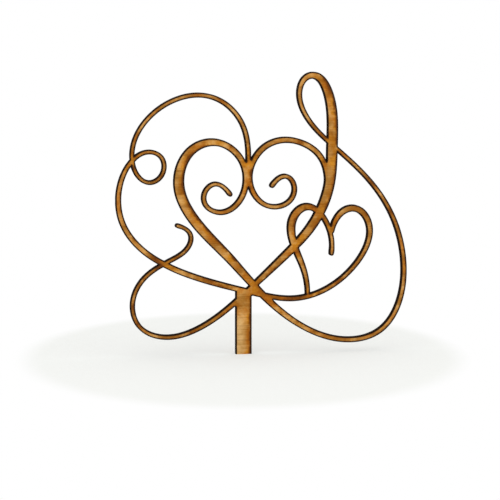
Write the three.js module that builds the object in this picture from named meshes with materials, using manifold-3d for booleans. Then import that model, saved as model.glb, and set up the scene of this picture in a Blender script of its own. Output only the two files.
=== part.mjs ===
// Laser-cut plywood cake topper: a wordless flourish of scrolls, swashes and hearts on one pointed stake.
// Lengths are millimetres and +Z is up. The sheet stands in the XZ plane with its front towards -Y.
// The origin is the middle of the stake, at the level down to which it is pushed in.

import * as THREE from 'three';
import { NURBSCurve } from 'three/addons/curves/NURBSCurve.js';
import { mergeVertices } from 'three/addons/utils/BufferGeometryUtils.js';
import Module from 'manifold-3d';

const wasm = await Module();
wasm.setup();

// Flourish, and the height over the origin from which its places are measured
const flourishWidth = 139;
const flourishHeight = 128;
const cakeClearance = 4.2;

// Widths that the pen leaves on hairlines and on full downstrokes
const thinPenWidth = 2.2;
const thickPenWidth = 5.2;

// Stake
const stakeWidth = 7.5;
const stakeInCakeLength = 60;
const stakePointLength = 12;
const stakeTipWidth = 1.5;
const stakeFilletRadius = 0.5;
const stakePlaceShare = 0.433;

// Layers of the plywood
const faceVeneerThickness = 0.6;
const glueLineThickness = 0.1;
const coreVeneerThickness = 1.6;

// How far a facet may lie inside the true curve, and how far it may turn from the one before it
const chordError = 0.07;
const facetTurn = THREE.MathUtils.degToRad(20);

// How far a cut runs past what it cuts, and how far the ends of a fillet sink into what they join
const overrun = 1;
const filletSink = 0.01;

// Each stroke is a table of places for the pen: across and up as shares of the flourish,
// then the pen's share of the way from its thin to its thick width.

// Left scroll, long downstroke, wide right bow, tall loop, second downstroke, teardrop and hook
const greatSweepShares = [
  [0.387, 0.556, 0.03], [0.353, 0.608, 0.03], [0.298, 0.586, 0.03], [0.291, 0.511, 0.07],
  [0.366, 0.474, 0.13], [0.442, 0.541, 0.20], [0.449, 0.675, 0.27], [0.353, 0.765, 0.40],
  [0.236, 0.727, 0.73], [0.194, 0.578, 1.00], [0.277, 0.436, 1.00], [0.387, 0.325, 0.80],
  [0.476, 0.205, 0.47], [0.600, 0.078, 0.27], [0.758, -0.004, 0.13], [0.930, 0.019, 0.13],
  [1.006, 0.205, 0.13], [0.978, 0.429, 0.07], [0.889, 0.586, 0.03], [0.779, 0.697, 0.03],
  [0.669, 0.794, 0.03], [0.614, 0.899, 0.07], [0.634, 0.988, 0.20], [0.703, 0.996, 0.53],
  [0.744, 0.869, 0.93], [0.737, 0.720, 1.00], [0.737, 0.578, 0.93], [0.676, 0.429, 0.80],
  [0.566, 0.317, 0.53], [0.469, 0.220, 0.20], [0.339, 0.093, 0.07], [0.194, 0.019, 0.03],
  [0.071, 0.056, 0.03], [0.043, 0.168, 0.03], [0.091, 0.265, 0.00], [0.181, 0.317, 0.00],
  [0.256, 0.354, 0.00], [0.263, 0.429, 0.00], [0.208, 0.444, 0.00],
];

// Arc over the left scroll, ring, outer bow, line over the stake and right side of the small heart
const ringArcShares = [
  [0.442, 0.593, 0.07], [0.463, 0.742, 0.07], [0.414, 0.876, 0.07], [0.284, 0.936, 0.07],
  [0.146, 0.884, 0.03], [0.057, 0.772, 0.00], [0.050, 0.653, 0.00], [0.105, 0.586, 0.00],
  [0.167, 0.623, 0.00], [0.167, 0.705, 0.00], [0.084, 0.727, 0.00], [0.009, 0.623, 0.10],
  [0.002, 0.459, 0.20], [0.105, 0.325, 0.27], [0.284, 0.243, 0.27], [0.449, 0.198, 0.20],
  [0.600, 0.153, 0.13], [0.737, 0.198, 0.07], [0.841, 0.302, 0.07], [0.889, 0.422, 0.20],
  [0.827, 0.526, 0.47], [0.751, 0.481, 0.27], [0.737, 0.414, 0.07],
];

// Left side of the small heart, with its tail
const smallHeartShares = [
  [0.655, 0.175, 0.00], [0.655, 0.257, 0.07], [0.607, 0.347, 0.40], [0.586, 0.459, 0.67],
  [0.648, 0.526, 0.47], [0.717, 0.474, 0.13], [0.744, 0.384, 0.00], [0.737, 0.332, 0.00],
];

// Right scroll
const rightScrollShares = [
  [0.720, 0.571, 0.13], [0.731, 0.675, 0.20], [0.634, 0.765, 0.27], [0.497, 0.750, 0.27],
  [0.432, 0.615, 0.20], [0.497, 0.496, 0.13], [0.600, 0.511, 0.07], [0.621, 0.601, 0.07],
  [0.566, 0.638, 0.07], [0.531, 0.586, 0.07],
];

const flourishLeft = -stakePlaceShare * flourishWidth;
const curveDegree = 3;
const probesPerSpan = 8;

// Clamped curve of a stroke. Its third coordinate carries the width of the pen.
function penCurve(strokeShares) {
  const places = strokeShares.map(([acrossShare, upShare, penShare]) => new THREE.Vector4(
    flourishLeft + acrossShare * flourishWidth,
    cakeClearance + upShare * flourishHeight,
    THREE.MathUtils.lerp(thinPenWidth, thickPenWidth, penShare),
    1,
  ));
  const spanCount = places.length - curveDegree;
  const innerKnots = Array.from({ length: spanCount + 1 }, (_, k) => k / spanCount);
  const startKnots = new Array(curveDegree).fill(0);
  const endKnots = new Array(curveDegree).fill(1);
  const knots = [...startKnots, ...innerKnots, ...endKnots];
  return { curve: new NURBSCurve(curveDegree, knots, places), spanCount };
}

// Section of a stroke: the middle of the pen and its two edges, square to the curve
function penSection(curve, place) {
  const { x, y, z: penWidth } = curve.getPoint(place);
  const ahead = curve.getTangent(place);
  const middle = new THREE.Vector2(x, y);
  const side = new THREE.Vector2(-ahead.y, ahead.x).setLength(penWidth / 2);
  return { middle, side, left: middle.clone().add(side), right: middle.clone().sub(side) };
}

function sectionsBetween(curve, from, to, count) {
  const places = Array.from({ length: count + 1 }, (_, k) => THREE.MathUtils.lerp(from, to, k / count));
  return places.map((place) => penSection(curve, place));
}

// A stretch of length L that turns by an angle A in n facets leaves the curve by L * A / (8 * n * n)
function facetCount(length, turn) {
  const countForError = Math.ceil(Math.sqrt(length * turn / (8 * chordError)));
  const countForTurn = Math.ceil(turn / facetTurn);
  return Math.max(1, countForError, countForTurn);
}

function spanSections(curve, from, to) {
  const probes = sectionsBetween(curve, from, to, probesPerSpan);
  let length = 0;
  let turn = 0;
  for (let k = 1; k < probes.length; k += 1) {
    const before = probes[k - 1];
    const here = probes[k];
    length += Math.max(here.left.distanceTo(before.left), here.right.distanceTo(before.right));
    turn += before.side.angleTo(here.side);
  }
  return sectionsBetween(curve, from, to, facetCount(length, turn));
}

// Points between the two edges of an end section, clockwise round the tip of the pen
function roundEnd(section, startAngle) {
  const radius = section.side.length();
  const count = facetCount(Math.PI * radius, Math.PI);
  return Array.from({ length: count - 1 }, (_, k) => {
    const angle = startAngle - Math.PI * (k + 1) / count;
    return new THREE.Vector2(Math.cos(angle), Math.sin(angle)).multiplyScalar(radius).add(section.middle);
  });
}

// A stroke as flat shapes, one for each span, so that it may cross itself
function strokeShapes(strokeShares) {
  const { curve, spanCount } = penCurve(strokeShares);
  return Array.from({ length: spanCount }, (_, span) => {
    const sections = spanSections(curve, span / spanCount, (span + 1) / spanCount);
    const first = sections[0];
    const last = sections[sections.length - 1];
    const startEnd = span === 0 ? roundEnd(first, first.side.angle() + Math.PI) : [];
    const finishEnd = span === spanCount - 1 ? roundEnd(last, last.side.angle()) : [];
    const leftEdge = sections.map((section) => section.left);
    const rightEdge = sections.map((section) => section.right).reverse();
    return new THREE.Shape([...startEnd, ...leftEdge, ...finishEnd, ...rightEdge]);
  });
}

// Where facets of a stroke's middle or of one of its edges pass over a place across: height and slope
function passings(strokeShares, line, across) {
  const { curve, spanCount } = penCurve(strokeShares);
  const found = [];
  for (let span = 0; span < spanCount; span += 1) {
    const sections = spanSections(curve, span / spanCount, (span + 1) / spanCount);
    const points = sections.map((section) => section[line]);
    for (let k = 1; k < points.length; k += 1) {
      const facet = points[k].clone().sub(points[k - 1]);
      const share = (across - points[k - 1].x) / facet.x;
      if (share >= 0 && share <= 1) {
        found.push({ height: points[k - 1].y + share * facet.y, slope: facet.y / facet.x });
      }
    }
  }
  return found;
}

function lowest(found) {
  return found.reduce((low, next) => (next.height < low.height ? next : low));
}

// The stake rises into the line that passes over it and tapers to a blunt point at its foot
function stakeShape() {
  const half = stakeWidth / 2;
  const halfTip = stakeTipWidth / 2;
  const pointTop = stakePointLength - stakeInCakeLength;
  return new THREE.Shape([
    new THREE.Vector2(-halfTip, -stakeInCakeLength),
    new THREE.Vector2(halfTip, -stakeInCakeLength),
    new THREE.Vector2(half, pointTop),
    new THREE.Vector2(half, lowest(passings(ringArcShares, 'middle', half)).height),
    new THREE.Vector2(-half, lowest(passings(ringArcShares, 'middle', -half)).height),
    new THREE.Vector2(-half, pointTop),
  ]);
}

const strokes = [greatSweepShares, ringArcShares, smallHeartShares, rightScrollShares];

// Fillet where one side of the stake, -1 for the left and 1 for the right, meets the lowest stroke over it.
// Its arc is tangent to both, and its root lies inside both.
function stakeFilletShape(side) {
  const across = side * stakeWidth / 2;
  const edges = strokes.flatMap((shares) => [
    ...passings(shares, 'left', across),
    ...passings(shares, 'right', across),
  ]);
  const { height, slope } = lowest(edges);
  const downStake = new THREE.Vector2(0, -1);
  const outStroke = new THREE.Vector2(side, side * slope).normalize();
  const gapAngle = downStake.angleTo(outStroke);
  const arcAngle = Math.PI - gapAngle;
  const tangentLength = stakeFilletRadius / Math.tan(gapAngle / 2);
  const centre = new THREE.Vector2(across + side * stakeFilletRadius, height - tangentLength);
  const count = facetCount(stakeFilletRadius * arcAngle, arcAngle);
  const arc = Array.from({ length: count + 1 }, (_, k) => {
    const angle = arcAngle * k / count;
    const towards = new THREE.Vector2(-side * Math.cos(angle), Math.sin(angle));
    return towards.multiplyScalar(stakeFilletRadius + filletSink).add(centre);
  });
  const intoGap = downStake.clone().add(outStroke).setLength(stakeFilletRadius);
  const root = new THREE.Vector2(across, height).sub(intoGap);
  return new THREE.Shape([root, ...arc]);
}

const cutShapes = [
  ...strokes.flatMap((shares) => strokeShapes(shares)),
  stakeShape(),
  stakeFilletShape(-1),
  stakeFilletShape(1),
];

function closedSolid(geometry) {
  geometry.deleteAttribute('normal');
  geometry.deleteAttribute('uv');
  const closed = mergeVertices(geometry);
  return new wasm.Manifold(new wasm.Mesh({
    numProp: 3,
    vertProperties: closed.attributes.position.array,
    triVerts: Uint32Array.from(closed.index.array),
  }));
}

// What the laser leaves standing of a stack deeper than the sheet
const sheetThickness = 2 * faceVeneerThickness + 2 * glueLineThickness + coreVeneerThickness;
const stackThickness = sheetThickness + 2 * overrun;
const cutPieces = cutShapes.map((shape) => {
  const prism = new THREE.ExtrudeGeometry(shape, { depth: stackThickness, bevelEnabled: false });
  return closedSolid(prism.translate(0, 0, -overrun));
});
const cutStack = cutPieces.reduce((stack, piece) => stack.add(piece));

// One layer of the sheet with the whole outline, its lower face at zero
function layerGeometry(thickness) {
  const { min, max } = cutStack.boundingBox();
  const board = new THREE.BoxGeometry(
    max[0] - min[0] + 2 * overrun,
    max[1] - min[1] + 2 * overrun,
    thickness,
  );
  board.translate((min[0] + max[0]) / 2, (min[1] + max[1]) / 2, thickness / 2);
  const cut = cutStack.intersect(closedSolid(board)).getMesh();
  const geometry = new THREE.BufferGeometry();
  geometry.setAttribute('position', new THREE.BufferAttribute(cut.vertProperties, 3));
  geometry.setIndex(new THREE.BufferAttribute(cut.triVerts, 1));
  return geometry;
}

const faceWood = { color: 0xbb8542, roughness: 0.62, metalness: 0 };
const coreWood = { color: 0x9c7443, roughness: 0.75, metalness: 0 };
const glue = { color: 0x3a2414, roughness: 0.5, metalness: 0 };

// Layers from the rear face to the front face
const layers = [
  { name: 'rear_veneer', thickness: faceVeneerThickness, finish: faceWood },
  { name: 'rear_glue_line', thickness: glueLineThickness, finish: glue },
  { name: 'core_veneer', thickness: coreVeneerThickness, finish: coreWood },
  { name: 'front_glue_line', thickness: glueLineThickness, finish: glue },
  { name: 'front_veneer', thickness: faceVeneerThickness, finish: faceWood },
];

// The sheet is drawn lying down and then stood up, so that its thickness is centred on the stake
const topper = new THREE.Group();
topper.name = 'cake_topper';
topper.rotation.x = Math.PI / 2;
let level = -sheetThickness / 2;
for (const layer of layers) {
  const mesh = new THREE.Mesh(layerGeometry(layer.thickness), new THREE.MeshStandardMaterial(layer.finish));
  mesh.name = layer.name;
  mesh.position.z = level;
  topper.add(mesh);
  level += layer.thickness;
}

export default topper;
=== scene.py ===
import math

import bpy
import numpy as np
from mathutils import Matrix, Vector
from mathutils.geometry import delaunay_2d_cdt


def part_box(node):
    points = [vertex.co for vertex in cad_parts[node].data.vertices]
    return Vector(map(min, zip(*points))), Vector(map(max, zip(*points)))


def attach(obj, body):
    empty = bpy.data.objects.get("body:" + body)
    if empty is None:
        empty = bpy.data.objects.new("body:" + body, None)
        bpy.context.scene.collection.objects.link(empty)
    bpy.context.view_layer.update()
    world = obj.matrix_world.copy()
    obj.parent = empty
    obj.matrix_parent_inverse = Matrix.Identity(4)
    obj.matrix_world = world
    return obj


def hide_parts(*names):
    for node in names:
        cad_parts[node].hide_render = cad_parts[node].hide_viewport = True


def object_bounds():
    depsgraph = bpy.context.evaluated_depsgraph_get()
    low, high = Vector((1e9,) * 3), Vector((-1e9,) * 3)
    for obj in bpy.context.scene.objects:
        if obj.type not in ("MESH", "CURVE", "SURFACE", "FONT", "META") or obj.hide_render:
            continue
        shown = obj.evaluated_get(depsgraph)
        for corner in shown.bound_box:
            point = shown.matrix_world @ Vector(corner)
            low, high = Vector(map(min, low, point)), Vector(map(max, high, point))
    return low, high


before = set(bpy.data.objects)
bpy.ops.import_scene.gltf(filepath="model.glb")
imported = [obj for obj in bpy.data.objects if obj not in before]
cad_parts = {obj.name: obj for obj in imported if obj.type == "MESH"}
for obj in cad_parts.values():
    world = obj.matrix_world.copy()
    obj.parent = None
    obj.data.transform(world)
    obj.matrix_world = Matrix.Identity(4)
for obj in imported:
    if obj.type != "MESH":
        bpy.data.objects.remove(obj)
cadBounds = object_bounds()
mm = 0.001


def srgb(red, green, blue):
    # a colour written as 0 to 255 the way a colour picker shows it, as the linear value that a shader wants
    shares = np.array([red, green, blue]) / 255
    linear = np.where(shares <= 0.04045, shares / 12.92, ((shares + 0.055) / 1.055) ** 2.4)
    return (*linear, 1.0)


# Camera: a long lens a little left of square to the sheet, and a little higher than its top
cameraSettings = {
    "distance": 1.0,  # from the origin, along the floor
    "turnedLeft": 10.8,  # degrees
    "height": 0.150,
    "aim": (0.0032, 0.0, 0.0490),
    "widthOfView": 0.2345,  # what the frame spans at the aim point
    "sensor": 36.0,  # in mm, as is the lens
    "clip": (0.01, 20.0),
}


def makeCamera(settings):
    turned = math.radians(settings["turnedLeft"])
    place = Vector((-math.sin(turned), -math.cos(turned), 0.0)) * settings["distance"]
    place.z = settings["height"]
    aim = Vector(settings["aim"])
    data = bpy.data.cameras.new("productCamera")
    data.sensor_width = settings["sensor"]
    data.lens = settings["sensor"] * (aim - place).length / settings["widthOfView"]
    data.clip_start, data.clip_end = settings["clip"]
    camera = bpy.data.objects.new("productCamera", data)
    camera.location = place
    camera.rotation_euler = (aim - place).to_track_quat("-Z", "Y").to_euler()
    bpy.context.scene.collection.objects.link(camera)
    bpy.context.scene.camera = camera


makeCamera(cameraSettings)
bpy.context.scene.view_settings.view_transform = "Standard"
print("camera set")


# Cut outline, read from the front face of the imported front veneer
outlineSettings = {
    "weld": 0.001 * mm,
    "shortestEdge": 0.14 * mm,
    "cornerTurn": 25.0,  # degrees; a facet of a round stretch turns less
    "mostBulge": 0.16 * mm,  # and its curve leaves it by less
    "spacing": 0.4 * mm,
    "leastOpening": 0.35,  # what a mitre is divided by at least, so that a sharp tip's isn't too long
}


def frontFace(node, weld):
    # corners (x, z) and triangles of the flat face of a node that looks towards -Y
    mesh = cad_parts[node].data
    mesh.calc_loop_triangles()
    places = np.empty(len(mesh.vertices) * 3)
    mesh.vertices.foreach_get("co", places)
    triangles = np.empty(len(mesh.loop_triangles) * 3, dtype=np.int64)
    mesh.loop_triangles.foreach_get("vertices", triangles)
    corners = places.reshape(-1, 3)[triangles.reshape(-1, 3)]
    flat = (corners[:, :, 1] < places[1::3].min() + weld).all(axis=1)
    grid = np.round(corners[flat][:, :, [0, 2]] / weld).astype(np.int64)
    merged, index = np.unique(grid.reshape(-1, 2), axis=0, return_inverse=True)
    return merged * weld, index.reshape(-1, 3)


def rimLoops(corners, triangles):
    # an edge that only one triangle has is on the rim; each leads to the next, with the wood on its left
    count = len(corners)
    edges = np.vstack([triangles[:, [0, 1]], triangles[:, [1, 2]], triangles[:, [2, 0]]])
    rimEdges = edges[~np.isin(edges[:, 0] * count + edges[:, 1], edges[:, 1] * count + edges[:, 0])]
    following = dict(rimEdges.tolist())
    loops = []
    while following:
        loop = [next(iter(following))]
        while loop[-1] in following:
            loop.append(following.pop(loop[-1]))
        loops.append(corners[loop[:-1]])
    return loops


def aheadOf(loop):
    # unit vector from each point of a loop to the next
    ahead = np.roll(loop, -1, axis=0) - loop
    return ahead / np.linalg.norm(ahead, axis=1)[:, None]


def turnsOf(loop):
    # degrees by which a loop turns at each point
    ahead = aheadOf(loop)
    back = np.roll(ahead, 1, axis=0)
    return np.degrees(np.arccos(np.clip((ahead * back).sum(axis=1), -1, 1)))


def withoutShortEdges(loop, shortest):
    # of the two ends of a short edge, the one where the outline turns less goes
    turn = turnsOf(loop)
    short = np.linalg.norm(np.roll(loop, -1, axis=0) - loop, axis=1) < shortest
    dropNext = short & (turn >= np.roll(turn, -1))
    return loop[~((short & ~dropNext) | np.roll(dropNext, 1))]


def smoothLoop(loop, settings):
    # Between corners the outline is a cubic through the facet ends. The slope at a facet end is the mean of
    # the slopes of its two facets, each weighted by the length of the other, and at a corner the slope that
    # makes the end facet a parabola. A turn at one end bulges a facet by 4/27 of its length times its part
    # of the turn, which is greatest for the longer facet of the two.
    loop = withoutShortEdges(loop, settings["shortestEdge"])
    step = np.roll(loop, -1, axis=0) - loop
    length = np.linalg.norm(step, axis=1)[:, None]
    slope = step / length
    slopeBefore, lengthBefore = np.roll(slope, 1, axis=0), np.roll(length, 1, axis=0)
    turn = turnsOf(loop)[:, None]
    longer = np.maximum(length, lengthBefore)
    bulge = longer ** 2 / (length + lengthBefore) * np.radians(turn) * 4 / 27
    sharp = (turn > settings["cornerTurn"]) | (bulge > settings["mostBulge"])
    through = (slope * lengthBefore + slopeBefore * length) / (length + lengthBefore)
    nextThrough, nextSharp = np.roll(through, -1, axis=0), np.roll(sharp, -1, axis=0)
    lastThrough, lastSharp = np.roll(through, 1, axis=0), np.roll(sharp, 1, axis=0)
    leaving = np.where(sharp, np.where(nextSharp, slope, 2 * slope - nextThrough), through)
    arriving = np.where(sharp, np.where(lastSharp, slopeBefore, 2 * slopeBefore - lastThrough), through)
    counts = np.maximum(1, np.round(length[:, 0] / settings["spacing"])).astype(int)
    facet = np.repeat(np.arange(len(loop)), counts)
    share = (np.arange(len(facet)) - np.repeat(np.cumsum(counts) - counts, counts)) / counts[facet]
    share = share[:, None]
    following = (facet + 1) % len(loop)
    start, end = loop[facet], loop[following]
    startSlope, endSlope = leaving[facet] * length[facet], arriving[following] * length[facet]
    square, cube = share ** 2, share ** 3
    points = ((2 * cube - 3 * square + 1) * start + (cube - 2 * square + share) * startSlope
              + (3 * square - 2 * cube) * end + (cube - square) * endSlope)
    low, high = cadBounds
    return np.clip(points, (low[0], low[2]), (high[0], high[2]))


def joinedOutline(loops, leastOpening):
    # all loops as one set of points, with the next point of each and the mitre out of the wood there
    following = []
    outward = []
    first = 0
    for loop in loops:
        count = len(loop)
        following.append(first + (np.arange(count) + 1) % count)
        ahead = aheadOf(loop)
        normal = np.stack([ahead[:, 1], -ahead[:, 0]], axis=1)
        normalBefore = np.roll(normal, 1, axis=0)
        opening = np.maximum(1 + (normal * normalBefore).sum(axis=1), leastOpening)
        outward.append((normal + normalBefore) / opening[:, None])
        first += count
    return np.vstack(loops), np.concatenate(following), np.vstack(outward)


faceCorners, faceTriangles = frontFace("front_veneer", outlineSettings["weld"])
cutLoops = [smoothLoop(loop, outlineSettings) for loop in rimLoops(faceCorners, faceTriangles)]
rim, rimNext, rimOutward = joinedOutline(cutLoops, outlineSettings["leastOpening"])
rimAhead = rim[rimNext] - rim
rimLength = np.linalg.norm(rimAhead, axis=1)
print("outline read:", len(cutLoops), "loops,", len(rim), "points")


# Filling of a face: rows of points at fixed depths inside the outline, joined by triangles
fillSettings = {
    "depths": [0.25 * mm, 0.5 * mm, 0.8 * mm, 1.15 * mm, 1.55 * mm, 2.0 * mm, 2.5 * mm, 3.1 * mm],
    "every": [1, 1, 2, 2, 3, 3, 4, 4],  # which rim points a row starts from
    "least": 0.96,  # share of its depth that a point must lie from every edge
    "tolerance": 1e-6,  # in mm, within which the triangles take two points for one
}
blockRows = 1500  # points that are measured against the whole rim at a time


def distanceToRim(points):
    # least distance from each point to the straight pieces between rim points
    start = rim.astype(np.float32)
    along = rimAhead.astype(np.float32)
    square = (along ** 2).sum(axis=1)
    least = []
    for first in range(0, len(points), blockRows):
        block = points[first:first + blockRows].astype(np.float32)
        acrossX = block[:, 0:1] - start[:, 0]
        acrossZ = block[:, 1:2] - start[:, 1]
        share = np.clip((acrossX * along[:, 0] + acrossZ * along[:, 1]) / square, 0, 1)
        acrossX -= share * along[:, 0]
        acrossZ -= share * along[:, 1]
        least.append(np.sqrt((acrossX ** 2 + acrossZ ** 2).min(axis=1)))
    return np.concatenate(least)


def fillPoints(settings):
    # each row is the rim moved straight in by its depth, less the points that came too near another edge
    places = []
    depths = []
    for depth, every in zip(settings["depths"], settings["every"]):
        row = (rim - rimOutward * depth)[::every]
        kept = distanceToRim(row) > settings["least"] * depth
        places.append(row[kept])
        depths.append(np.full(kept.sum(), depth))
    return np.vstack(places), np.concatenate(depths)


def insideRing(ring, points):
    # a point is in the wood when a ray from it towards +X meets the ring an odd number of times
    end = ring[rimNext]
    run = (end[:, 0] - ring[:, 0]) / np.where(end[:, 1] == ring[:, 1], 1, end[:, 1] - ring[:, 1])
    inside = []
    for first in range(0, len(points), blockRows):
        x, z = points[first:first + blockRows, 0:1], points[first:first + blockRows, 1:2]
        crossed = (ring[:, 1] > z) != (end[:, 1] > z)
        ahead = ring[:, 0] + run * (z - ring[:, 1]) > x
        inside.append((crossed & ahead).sum(axis=1) % 2 == 1)
    return np.concatenate(inside)


def fillTriangles(ring, inner, tolerance):
    # triangles of the ring and its inner points, less those in the gaps of the sheet
    points = np.vstack([ring, inner]) / mm
    edges = np.stack([np.arange(len(ring)), rimNext], axis=1)
    made = delaunay_2d_cdt([Vector(point) for point in points], edges.tolist(), [], 0, tolerance, True)
    source = np.array([origin[0] for origin in made[3]])
    triangles = source[np.array(made[2])]
    kept = (triangles >= len(ring)).any(axis=1)
    kept[~kept] = insideRing(ring / mm, points[triangles[~kept]].mean(axis=1))
    return triangles[kept]


innerPlaces, innerDepths = fillPoints(fillSettings)
print("face filled:", len(innerPlaces), "points")


# Heat and smoke of the cut: every stretch of the rim warms the face round it, and more where the rim faces +X
# and a little down, so that each stroke is darker on that side. Wide strokes gather more smoke at their rim
# than hairlines do.
heatSettings = {
    "reach": 1.0 * mm,  # how far the heat and the smoke run
    "stainReach": 2.3 * mm,  # how far the amber of the smoke runs
    "heavierTowards": math.radians(-12),  # the way that the most darkened edges face, from +X, and so a little down
    "mostShare": 1.3,  # what the edges that face that way get
    "leastShare": 0.04,  # what the other side gets
    "spread": 0.85,  # the lower, the more the edges between get
    "crowdReach": 1.9 * mm,  # how near another edge has to be to crowd this one
    "crowdLoss": 1.4,  # smoke lost for each straight edge's worth of crowding
    "leastCrowded": 0.5,  # what the most crowded edge keeps
    "dwellFrom": math.radians(15),  # the beam dwells where the cut turns more than this into the wood,
    "dwellSmoke": 0.3 * mm,  # and each radian gives as much smoke as this much cut
    "dwellStain": 1.3 * mm,  # and as much stain as this
}


def spreadFromRim(points, weights, reach):
    # sum over the rim of length x weight x exp(-distance^2 / 2 reach^2), as a share of one long straight edge
    shares = rimLength[:, None] * weights
    middle = rim + rimAhead / 2
    found = []
    for first in range(0, len(points), blockRows):
        block = points[first:first + blockRows]
        square = (block[:, 0:1] - middle[:, 0]) ** 2 + (block[:, 1:2] - middle[:, 1]) ** 2
        found.append(np.exp(-square / (2 * reach ** 2)) @ shares)
    return np.vstack(found) / (reach * math.sqrt(2 * math.pi))


def turnsIntoWood():
    # the angle by which the outline turns into the wood at each rim point, as at the tip of a gap
    before = np.empty_like(rimAhead)
    before[rimNext] = rimAhead
    cross = before[:, 1] * rimAhead[:, 0] - before[:, 0] * rimAhead[:, 1]
    return np.arctan2(cross, (before * rimAhead).sum(axis=1))


def rimWeights(settings):
    # heat, smoke and stain that each stretch of the rim gives, by the way that it faces, the width of its
    # stroke and how sharply it turns into the wood
    normal = np.stack([rimAhead[:, 1], -rimAhead[:, 0]], axis=1) / rimLength[:, None]
    towards = np.array([math.cos(settings["heavierTowards"]), math.sin(settings["heavierTowards"])])
    # edges that face +X and a little down get more heat, smoke and stain, so the stroke is darker on that
    # side
    facingShare = np.clip(0.5 + 0.5 * normal @ towards, 0, 1)
    most, least = settings["mostShare"], settings["leastShare"]
    heat = least + (most - least) * facingShare ** settings["spread"]
    crowding = spreadFromRim(rim + rimAhead / 2, np.ones((len(rim), 1)), settings["crowdReach"])[:, 0]
    gathered = np.clip(1 - settings["crowdLoss"] * (crowding - 1), settings["leastCrowded"], 1)
    turn = turnsIntoWood()
    dwelt = np.where(turn > settings["dwellFrom"], turn, 0) / rimLength
    smoke = heat * gathered + dwelt * settings["dwellSmoke"]
    stain = heat * gathered + dwelt * settings["dwellStain"]
    return np.stack([heat, smoke, stain], axis=1)


def heatAt(points, weights, settings):
    # heat and smoke near the cut, then the stain that the smoke leaves further out
    near = spreadFromRim(points, weights[:, :2], settings["reach"])
    far = spreadFromRim(points, weights[:, 2:], settings["stainReach"])
    return np.hstack([near, far])


cutWeights = rimWeights(heatSettings)
innerHeat = heatAt(innerPlaces, cutWeights, heatSettings)
rimHeat = heatAt(rim, cutWeights, heatSettings)
print("heat worked out, from", innerHeat.min().round(2), "to", rimHeat.max().round(2))


# The plies, from front to back. The front or back of a ply that shows is rounded at its edge and finely
# filled. A row of a cut edge is (inset, y), and the rim attribute gives the distance in mm from the edge:
# more than nothing on the face, less than nothing down the wall.
edgeSettings = {
    "rounding": 0.09 * mm,
    "roundingSteps": 3,
    "taper": 0.010,  # by which the beam's cut narrows on each side, as a share of its depth
    "sharpFrom": math.radians(32),  # an edge that turns more than this isn't shaded smooth
}
glueInset = 0.020 * mm  # how far the glue lines stand back in the wall
plies = {
    "frontPly": {"node": "front_veneer", "slot": "face_wood", "front": True, "back": False, "inset": 0.0},
    "frontGlue": {"node": "front_glue_line", "slot": "glue_line", "front": False, "back": False,
                  "inset": glueInset},
    "corePly": {"node": "core_veneer", "slot": "core_wood", "front": False, "back": False, "inset": 0.0},
    "rearGlue": {"node": "rear_glue_line", "slot": "glue_line", "front": False, "back": False,
                 "inset": glueInset},
    "rearPly": {"node": "rear_veneer", "slot": "face_wood", "front": False, "back": True, "inset": 0.0},
}


def edgeRows(ply, settings):
    # straight down the wall of a ply, with a quarter round at the face that it shows in front or behind
    low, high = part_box(ply["node"])
    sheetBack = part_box("rear_veneer")[1].y
    radius = settings["rounding"]
    quarter = np.linspace(0, math.pi / 2, settings["roundingSteps"] + 1)
    curveIn, curveDown = radius * (1 - np.sin(quarter)), radius * (1 - np.cos(quarter))
    frontRows = np.array([[0.0, low.y]])
    backRows = np.array([[0.0, high.y]])
    if ply["front"]:
        frontRows = np.stack([curveIn, low.y + curveDown], axis=1)
    if ply["back"]:
        backRows = np.stack([curveIn, high.y - curveDown], axis=1)[::-1]
    rows = np.vstack([frontRows, backRows])
    rows[:, 0] += ply["inset"] + settings["taper"] * (sheetBack - rows[:, 1])
    return rows


tolerance = fillSettings["tolerance"]
hiddenFill = fillTriangles(rim, np.empty((0, 2)), tolerance)
shownFill = fillTriangles(rim - rimOutward * edgeSettings["rounding"], innerPlaces, tolerance)


def writeAttributes(mesh, depths, heats):
    # what the finishes read: distance from the edge, and heat, smoke and stain of the cut
    written = {"rimDepth": depths / mm, "cutHeat": heats[:, 0], "cutSmoke": heats[:, 1],
               "cutStain": heats[:, 2]}
    for label, values in written.items():
        mesh.attributes.new(label, "FLOAT", "POINT").data.foreach_set("value", values.copy())


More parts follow.
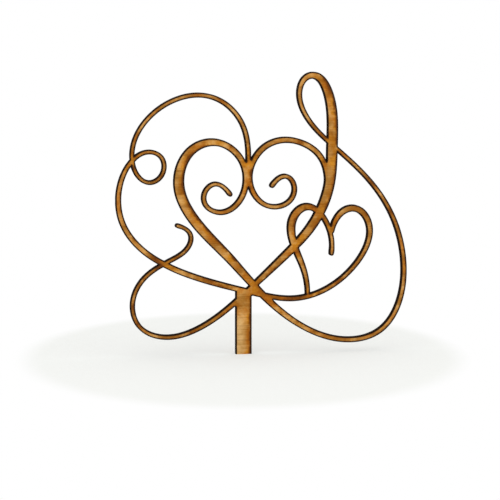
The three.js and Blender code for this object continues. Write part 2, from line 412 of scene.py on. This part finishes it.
def plyMesh(name, rows, fineFront, fineBack):
    # the wall is the outline carried along the rows; the faces close it in front and behind
    count = len(rim)
    rings = rim[None] - rimOutward[None] * rows[:, 0][:, None, None]
    levels = np.broadcast_to(rows[:, 1][:, None], rings.shape[:2])
    wall = np.stack([rings[:, :, 0], levels, rings[:, :, 1]], axis=2).reshape(-1, 3)
    firsts = (np.arange(len(rows) - 1) * count)[:, None]
    here, after = firsts + np.arange(count), firsts + rimNext
    wallFaces = np.stack([here, here + count, after + count, after], axis=2).reshape(-1, 4)
    # how far each row lies from the face that shows; the row in that face is its inner edge
    deep = rows[:, 1] - rows[0, 1] if fineFront else rows[-1, 1] - rows[:, 1]
    edgeDepth = np.where(deep <= 0, edgeSettings["rounding"], -deep)
    places = [wall]
    depths = [np.repeat(edgeDepth, count)]
    heats = [np.tile(rimHeat, (len(rows), 1))]
    faces = []
    for row, fine in ((0, fineFront), (len(rows) - 1, fineBack)):
        triangles = shownFill if fine else hiddenFill
        firstInner = sum(len(part) for part in places)
        triangles = np.where(triangles < count, triangles + row * count, triangles - count + firstInner)
        faces.append(triangles if row == 0 else triangles[:, ::-1])
        if fine:
            level = np.full(len(innerPlaces), rows[row, 1])
            places.append(np.stack([innerPlaces[:, 0], level, innerPlaces[:, 1]], axis=1))
            depths.append(innerDepths)
            heats.append(innerHeat)
    mesh = bpy.data.meshes.new(name)
    mesh.from_pydata(np.vstack(places), [], wallFaces.tolist() + np.vstack(faces).tolist())
    if fineFront or fineBack:
        onFace = np.ones(len(mesh.polygons), dtype=np.int32)
        onFace[:len(wallFaces)] = 0
        mesh.polygons.foreach_set("material_index", onFace)
    writeAttributes(mesh, np.concatenate(depths), np.vstack(heats))
    mesh.shade_smooth()
    mesh.set_sharp_from_angle(angle=edgeSettings["sharpFrom"])
    piece = bpy.data.objects.new(name, mesh)
    bpy.context.scene.collection.objects.link(piece)
    print(name, "made:", len(mesh.vertices), "points,", len(mesh.polygons), "faces")
    return piece


pieces = {}
for name, ply in plies.items():
    pieces[name] = plyMesh(name, edgeRows(ply, edgeSettings), ply["front"], ply["back"])
    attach(pieces[name], "root")
    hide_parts(ply["node"])


# Node helpers
bumpDistance = 0.03 * mm


def addNode(tree, kind, **values):
    node = tree.nodes.new(kind)
    for key, value in values.items():
        setattr(node, key, value)
    return node


def plug(tree, source, target):
    tree.links.new(source, target)


def setInput(tree, socket, value):
    if isinstance(value, bpy.types.NodeSocket):
        tree.links.new(value, socket)
    else:
        socket.default_value = value


def calc(tree, operation, first, second):
    node = addNode(tree, "ShaderNodeMath", operation=operation)
    setInput(tree, node.inputs[0], first)
    setInput(tree, node.inputs[1], second)
    return node.outputs[0]


def ramp(tree, value, fromLow, fromHigh, toLow=0.0, toHigh=1.0, smooth=True):
    node = addNode(tree, "ShaderNodeMapRange")
    node.interpolation_type = "SMOOTHSTEP" if smooth else "LINEAR"
    plug(tree, value, node.inputs["Value"])
    node.inputs["From Min"].default_value = fromLow
    node.inputs["From Max"].default_value = fromHigh
    node.inputs["To Min"].default_value = toLow
    node.inputs["To Max"].default_value = toHigh
    return node.outputs["Result"]


def blendColour(tree, share, first, second, mode="MIX"):
    # for colours the mix node takes its share at socket 0 and the two at 6 and 7, and gives the result at 2
    node = addNode(tree, "ShaderNodeMix", data_type="RGBA", blend_type=mode)
    setInput(tree, node.inputs[0], share)
    setInput(tree, node.inputs[6], first)
    setInput(tree, node.inputs[7], second)
    return node.outputs[2]


def stretched(tree, vector, scale, turn=(0.0, 0.0, 0.0)):
    node = addNode(tree, "ShaderNodeMapping", vector_type="POINT")
    plug(tree, vector, node.inputs["Vector"])
    node.inputs["Rotation"].default_value = turn
    node.inputs["Scale"].default_value = scale
    return node.outputs["Vector"]


def noise(tree, vector, layer):
    # a layer's scale is in cells a metre along X, Y and Z. Its noise may be turned some degrees about Y, so
    # that its cells don't line up with the grain.
    turn = (0.0, math.radians(layer["turn"]), 0.0)
    node = addNode(tree, "ShaderNodeTexNoise")
    plug(tree, stretched(tree, vector, layer["scale"], turn), node.inputs["Vector"])
    node.inputs["Scale"].default_value = 1.0
    node.inputs["Detail"].default_value = layer["detail"]
    node.inputs["Roughness"].default_value = layer["roughness"]
    node.inputs["Distortion"].default_value = layer["distortion"]
    return node.outputs["Fac"]


def attribute(tree, name):
    return addNode(tree, "ShaderNodeAttribute", attribute_name=name, attribute_type="GEOMETRY").outputs["Fac"]


def addBump(tree, shader, height, strength):
    bump = addNode(tree, "ShaderNodeBump")
    bump.inputs["Strength"].default_value = strength
    bump.inputs["Distance"].default_value = bumpDistance
    plug(tree, height, bump.inputs["Height"])
    plug(tree, bump.outputs["Normal"], shader.inputs["Normal"])


def seenDirectly(tree):
    # one for the camera's own rays and for what shows in gloss or through glass
    path = addNode(tree, "ShaderNodeLightPath")
    first = calc(tree, "MAXIMUM", path.outputs["Is Camera Ray"], path.outputs["Is Glossy Ray"])
    return calc(tree, "MAXIMUM", first, path.outputs["Is Transmission Ray"])


def newMaterial(name):
    material = bpy.data.materials.new(name)
    material.use_nodes = True
    tree = material.node_tree
    return material, tree, tree.nodes["Principled BSDF"]


def newGroup(name, inputs, outputs):
    tree = bpy.data.node_groups.new(name, "ShaderNodeTree")
    for label, kind in inputs.items():
        tree.interface.new_socket(label, in_out="INPUT", socket_type="NodeSocket" + kind)
    for label, kind in outputs.items():
        tree.interface.new_socket(label, in_out="OUTPUT", socket_type="NodeSocket" + kind)
    return tree, addNode(tree, "NodeGroupInput"), addNode(tree, "NodeGroupOutput")


def placeGroup(tree, group, values):
    node = addNode(tree, "ShaderNodeGroup", node_tree=group)
    for label, value in values.items():
        setInput(tree, node.inputs[label], value)
    return node


# Veneer figure: clouds and warm blotches, with bands, growth lines, short fibres and pores that are drawn
# out along the grain, which runs across the topper. A pair is where a ramp starts and ends, and a four says
# what it gives there too.
figureLayers = {
    "clouds": {"scale": (75, 60, 85), "turn": 0.0, "detail": 3, "roughness": 0.55, "distortion": 0.5},
    "bands": {"scale": (28, 60, 380), "turn": 2.5, "detail": 3, "roughness": 0.55, "distortion": 0.3},
    "blotches": {"scale": (110, 60, 110), "turn": 0.0, "detail": 3, "roughness": 0.6, "distortion": 0.4},
    "growth": {"scale": (26, 60, 1300), "turn": 2.5, "detail": 2, "roughness": 0.55, "distortion": 0.2},
    "fibres": {"scale": (90, 200, 3600), "turn": 2.5, "detail": 3, "roughness": 0.6, "distortion": 0.0},
    "pores": {"scale": (420, 400, 7200), "turn": 2.5, "detail": 2, "roughness": 0.5, "distortion": 0.0},
}
figureSettings = {
    "cloudTone": 0.7,  # parts that the layers have in the tone
    "bandTone": 0.15,
    "fibreTone": 0.18,
    "deep": (0.415, 0.605),
    "warm": (0.46, 0.66, 0.0, 0.8),
    "lines": (0.5, 0.7),
    "pores": (0.60, 0.72),
    "fibreHeight": 0.5,
    "bandGloss": 0.5,
}


def makeVeneerFigure(settings):
    tree, given, out = newGroup(
        "veneerFigure",
        {"Pale": "Color", "Deep": "Color", "Warm": "Color", "Line": "Color", "Lines": "Float",
         "Pores": "Float", "Offset": "Float"},
        {"Color": "Color", "Height": "Float", "Gloss": "Float"})
    shift = addNode(tree, "ShaderNodeCombineXYZ")
    plug(tree, given.outputs["Offset"], shift.inputs["Y"])
    moved = addNode(tree, "ShaderNodeVectorMath", operation="ADD")
    plug(tree, addNode(tree, "ShaderNodeTexCoord").outputs["Object"], moved.inputs[0])
    plug(tree, shift.outputs[0], moved.inputs[1])
    layers = {name: noise(tree, moved.outputs[0], layer) for name, layer in figureLayers.items()}
    clouds = calc(tree, "MULTIPLY", layers["clouds"], settings["cloudTone"])
    bands = calc(tree, "MULTIPLY", layers["bands"], settings["bandTone"])
    fibres = calc(tree, "MULTIPLY", layers["fibres"], settings["fibreTone"])
    tone = calc(tree, "ADD", calc(tree, "ADD", clouds, bands), fibres)
    deepShare = ramp(tree, tone, *settings["deep"])
    base = blendColour(tree, deepShare, given.outputs["Pale"], given.outputs["Deep"])
    warmShare = ramp(tree, layers["blotches"], *settings["warm"])
    warmed = blendColour(tree, warmShare, base, given.outputs["Warm"])
    growth = ramp(tree, layers["growth"], *settings["lines"])
    lineShare = calc(tree, "MULTIPLY", growth, given.outputs["Lines"])
    lined = blendColour(tree, lineShare, warmed, given.outputs["Line"])
    pores = ramp(tree, layers["pores"], *settings["pores"])
    poreShare = calc(tree, "MULTIPLY", pores, given.outputs["Pores"])
    plug(tree, blendColour(tree, poreShare, lined, given.outputs["Line"]), out.inputs["Color"])
    raised = calc(tree, "MULTIPLY", layers["fibres"], settings["fibreHeight"])
    plug(tree, calc(tree, "SUBTRACT", raised, poreShare), out.inputs["Height"])
    banded = calc(tree, "MULTIPLY", layers["bands"], settings["bandGloss"])
    plug(tree, calc(tree, "ADD", layers["fibres"], banded), out.inputs["Gloss"])
    return tree


# Laser scorch: how stained, scorched and charred a place is, from the heat and smoke that it had and its
# depth from the cut
scorchLayers = {
    "wander": {"scale": (330, 330, 330), "turn": 0.0, "detail": 3, "roughness": 0.6, "distortion": 0.0},
    "licks": {"scale": (105, 105, 105), "turn": 0.0, "detail": 2, "roughness": 0.5, "distortion": 0.0},
    "crumbs": {"scale": (2600, 2600, 2600), "turn": 0.0, "detail": 2, "roughness": 0.6, "distortion": 0.0},
    "grooves": {"scale": (4200, 260, 4200), "turn": 0.0, "detail": 2, "roughness": 0.6, "distortion": 0.0},
}
scorchSettings = {
    "wander": (0.3, 0.7, 0.45, 1.5),  # what the stain and scorch are multiplied by
    "licks": (0.5, 0.7, -0.04, 0.24),  # what tongues of smoke add to both
    "crumbs": (0.3, 0.7, 0.88, 1.12),  # how ragged the edge of the char is
    "burned": (0.3, 1.9, 0.64, 1.0),  # how wide the char is, by heat and smoke together
    "char": (0.8, 1.3, 1.0, 0.0),  # how it ends, as shares of its width
    "soot": (0.5, 0.92, 1.0, 0.0),
}


def makeLaserScorch(settings):
    tree, given, out = newGroup(
        "laserScorch",
        {"Char Width": "Float", "Strength": "Float"},
        {"Stain": "Float", "Scorch": "Float", "Char": "Float", "Soot": "Float", "Grooves": "Float"})
    space = addNode(tree, "ShaderNodeTexCoord").outputs["Object"]
    layers = {name: noise(tree, space, layer) for name, layer in scorchLayers.items()}
    smoke = attribute(tree, "cutSmoke")
    wander = ramp(tree, layers["wander"], *settings["wander"], smooth=False)
    strength = calc(tree, "MULTIPLY", wander, given.outputs["Strength"])
    licks = ramp(tree, layers["licks"], *settings["licks"])
    stained = calc(tree, "ADD", attribute(tree, "cutStain"), licks)
    plug(tree, calc(tree, "MULTIPLY", stained, strength), out.inputs["Stain"])
    plug(tree, calc(tree, "MULTIPLY", calc(tree, "ADD", smoke, licks), strength), out.inputs["Scorch"])
    ragged = ramp(tree, layers["crumbs"], *settings["crumbs"], smooth=False)
    charWidth = calc(tree, "MULTIPLY", given.outputs["Char Width"], ragged)
    hot = calc(tree, "ADD", attribute(tree, "cutHeat"), smoke)
    charWidth = calc(tree, "MULTIPLY", charWidth, ramp(tree, hot, *settings["burned"], smooth=False))
    charShare = calc(tree, "DIVIDE", attribute(tree, "rimDepth"), charWidth)
    plug(tree, ramp(tree, charShare, *settings["char"]), out.inputs["Char"])
    plug(tree, ramp(tree, charShare, *settings["soot"]), out.inputs["Soot"])
    plug(tree, layers["grooves"], out.inputs["Grooves"])
    return tree


veneerFigure = makeVeneerFigure(figureSettings)
laserScorch = makeLaserScorch(scorchSettings)


# Faces of the outer plies: bare sanded veneer, stained, scorched and then charred towards the cut
faceFinishes = {
    "frontPly": {"charWidth": 0.76, "strength": 1.0, "offset": 0.0},
    "rearPly": {"charWidth": 0.82, "strength": 1.2, "offset": 0.4},
}
faceSettings = {
    "lines": 0.3,
    "pores": 0.35,
    "stained": (0.05, 1.0, 0.0, 0.95),
    "scorched": (0.16, 0.82),
    "roughness": (0.5, 1.0, 0.55, 0.72),
    "shine": 0.1,
    "bump": 0.35,
}
woodColours = {
    "pale": srgb(222, 178, 115),
    "deep": srgb(164, 116, 46),
    "warm": srgb(190, 125, 40),
    "line": srgb(118, 74, 28),
    "stain": srgb(232, 189, 52),  # a tint that the figure shows through
    "scorched": srgb(104, 54, 6),
    "charred": srgb(56, 26, 4),
    "soot": srgb(30, 13, 2),
}


def makeFaceFinish(name, finish, settings):
    material, tree, shader = newMaterial(name + "Face")
    figure = placeGroup(tree, veneerFigure, {
        "Pale": woodColours["pale"], "Deep": woodColours["deep"], "Warm": woodColours["warm"],
        "Line": woodColours["line"], "Lines": settings["lines"], "Pores": settings["pores"],
        "Offset": finish["offset"]})
    scorch = placeGroup(tree, laserScorch, {
        "Char Width": finish["charWidth"], "Strength": finish["strength"]})
    stainShare = ramp(tree, scorch.outputs["Stain"], *settings["stained"], smooth=False)
    stained = blendColour(tree, stainShare, figure.outputs["Color"], woodColours["stain"], "MULTIPLY")
    scorchShare = ramp(tree, scorch.outputs["Scorch"], *settings["scorched"])
    scorched = blendColour(tree, scorchShare, stained, woodColours["scorched"])
    charred = blendColour(tree, scorch.outputs["Char"], scorched, woodColours["charred"])
    sooted = blendColour(tree, scorch.outputs["Soot"], charred, woodColours["soot"])
    plug(tree, sooted, shader.inputs["Base Color"])
    plug(tree, ramp(tree, figure.outputs["Gloss"], *settings["roughness"]), shader.inputs["Roughness"])
    shader.inputs["Specular IOR Level"].default_value = settings["shine"]
    addBump(tree, shader, figure.outputs["Height"], settings["bump"])
    return material


# Walls of the cut: charred through, with the fine upright grooves that the beam's pulses leave
wallFinishes = {
    "veneerWall": {"dark": srgb(16, 9, 4), "light": srgb(50, 29, 14), "roughness": 0.95, "shine": 0.03},
    "coreWall": {"dark": srgb(8, 5, 2), "light": srgb(32, 19, 9), "roughness": 0.95, "shine": 0.03},
    "glueWall": {"dark": srgb(3, 2, 1), "light": srgb(8, 5, 3), "roughness": 0.7, "shine": 0.08},
}
wallSettings = {"streaks": (0.35, 0.7), "bump": 0.4}


def makeWallFinish(name, finish, settings):
    material, tree, shader = newMaterial(name)
    grooves = placeGroup(tree, laserScorch, {}).outputs["Grooves"]
    streaks = ramp(tree, grooves, *settings["streaks"])
    plug(tree, blendColour(tree, streaks, finish["dark"], finish["light"]), shader.inputs["Base Color"])
    shader.inputs["Roughness"].default_value = finish["roughness"]
    shader.inputs["Specular IOR Level"].default_value = finish["shine"]
    addBump(tree, shader, grooves, settings["bump"])
    return material


walls = {name: makeWallFinish(name, finish, wallSettings) for name, finish in wallFinishes.items()}
for name, finish in faceFinishes.items():
    pieces[name].data.materials.append(walls["veneerWall"])
    pieces[name].data.materials.append(makeFaceFinish(name, finish, faceSettings))
pieces["corePly"].data.materials.append(walls["coreWall"])
pieces["frontGlue"].data.materials.append(walls["glueWall"])
pieces["rearGlue"].data.materials.append(walls["glueWall"])
print("finishes made")


# Floor: pale and matt round the stake, running out to the white of the background
floorSettings = {
    "radius": 1.2,
    "rings": 24,
    "spokes": 96,
    "pale": srgb(240, 242, 237),
    "roughness": 0.9,
    "shine": 0.1,
    "fadeFrom": 0.135,
    "fadeTo": 0.157,
    "across": 1.45,  # the fade comes this much sooner to the sides
    "glow": 0.4,  # share of the background's white that the camera sees before the fade too
}


def makeFloorMesh(settings):
    # a disc as a grid of distance and angle, its rings drawn closer towards the middle
    spokes = settings["spokes"]
    distance = settings["radius"] * np.linspace(0, 1, settings["rings"] + 1)[1:] ** 2
    angle = np.linspace(0, 2 * math.pi, spokes, endpoint=False)
    x = distance[:, None] * np.cos(angle)
    y = distance[:, None] * np.sin(angle)
    places = np.stack([x, y, np.zeros_like(x)], axis=2).reshape(-1, 3)
    firsts = np.arange(settings["rings"] - 1)[:, None] * spokes
    here, after = firsts + np.arange(spokes), firsts + (np.arange(spokes) + 1) % spokes
    quads = np.stack([here, here + spokes, after + spokes, after], axis=2).reshape(-1, 4)
    mesh = bpy.data.meshes.new("paleFloor")
    mesh.from_pydata(places, [], quads.tolist() + [list(range(spokes))])
    return mesh


def makeFloorFinish(settings):
    material, tree, shader = newMaterial("paleFloor")
    shader.inputs["Base Color"].default_value = settings["pale"]
    shader.inputs["Roughness"].default_value = settings["roughness"]
    shader.inputs["Specular IOR Level"].default_value = settings["shine"]
    space = addNode(tree, "ShaderNodeTexCoord").outputs["Object"]
    length = addNode(tree, "ShaderNodeVectorMath", operation="LENGTH")
    facing = stretched(tree, space, (1, 1, 1), (0, 0, math.radians(cameraSettings["turnedLeft"])))
    plug(tree, stretched(tree, facing, (settings["across"], 1, 1)), length.inputs[0])
    away = ramp(tree, length.outputs["Value"], settings["fadeFrom"], settings["fadeTo"], settings["glow"])
    mixed = addNode(tree, "ShaderNodeMixShader")
    plug(tree, calc(tree, "MULTIPLY", away, seenDirectly(tree)), mixed.inputs[0])
    plug(tree, shader.outputs[0], mixed.inputs[1])
    plug(tree, addNode(tree, "ShaderNodeEmission").outputs[0], mixed.inputs[2])
    plug(tree, mixed.outputs[0], tree.nodes["Material Output"].inputs["Surface"])
    return material


def makeFloor(settings):
    mesh = makeFloorMesh(settings)
    mesh.materials.append(makeFloorFinish(settings))
    floor = bpy.data.objects.new("paleFloor", mesh)
    bpy.context.scene.collection.objects.link(floor)


# Light: a white surround and three large soft lamps
lightSettings = {
    "surround": 0.78,  # for every ray that doesn't see it directly; the rest see full white
    "aim": (0.01, 0.0, 0.06),
    "lamps": {
        "key": {"place": (-0.60, -1.15, 0.60), "size": 1.1, "watts": 3.7},
        "fill": {"place": (0.75, -0.75, 0.45), "size": 0.9, "watts": 1.4},
        "top": {"place": (0.0, -0.05, 1.3), "size": 1.2, "watts": 2.6},
    },
}


def makeLight(settings):
    world = bpy.data.worlds.new("surround")
    bpy.context.scene.world = world
    world.use_nodes = True
    tree = world.node_tree
    background = tree.nodes["Background"]
    background.inputs["Color"].default_value = (1, 1, 1, 1)
    strength = ramp(tree, seenDirectly(tree), 0, 1, settings["surround"], smooth=False)
    plug(tree, strength, background.inputs["Strength"])
    for name, lampSettings in settings["lamps"].items():
        data = bpy.data.lights.new(name, "AREA")
        data.size = lampSettings["size"]
        data.energy = lampSettings["watts"]
        lamp = bpy.data.objects.new(name, data)
        lamp.location = lampSettings["place"]
        aim = Vector(settings["aim"]) - lamp.location
        lamp.rotation_euler = aim.to_track_quat("-Z", "Y").to_euler()
        bpy.context.scene.collection.objects.link(lamp)


makeFloor(floorSettings)
makeLight(lightSettings)
print("floor and light made")
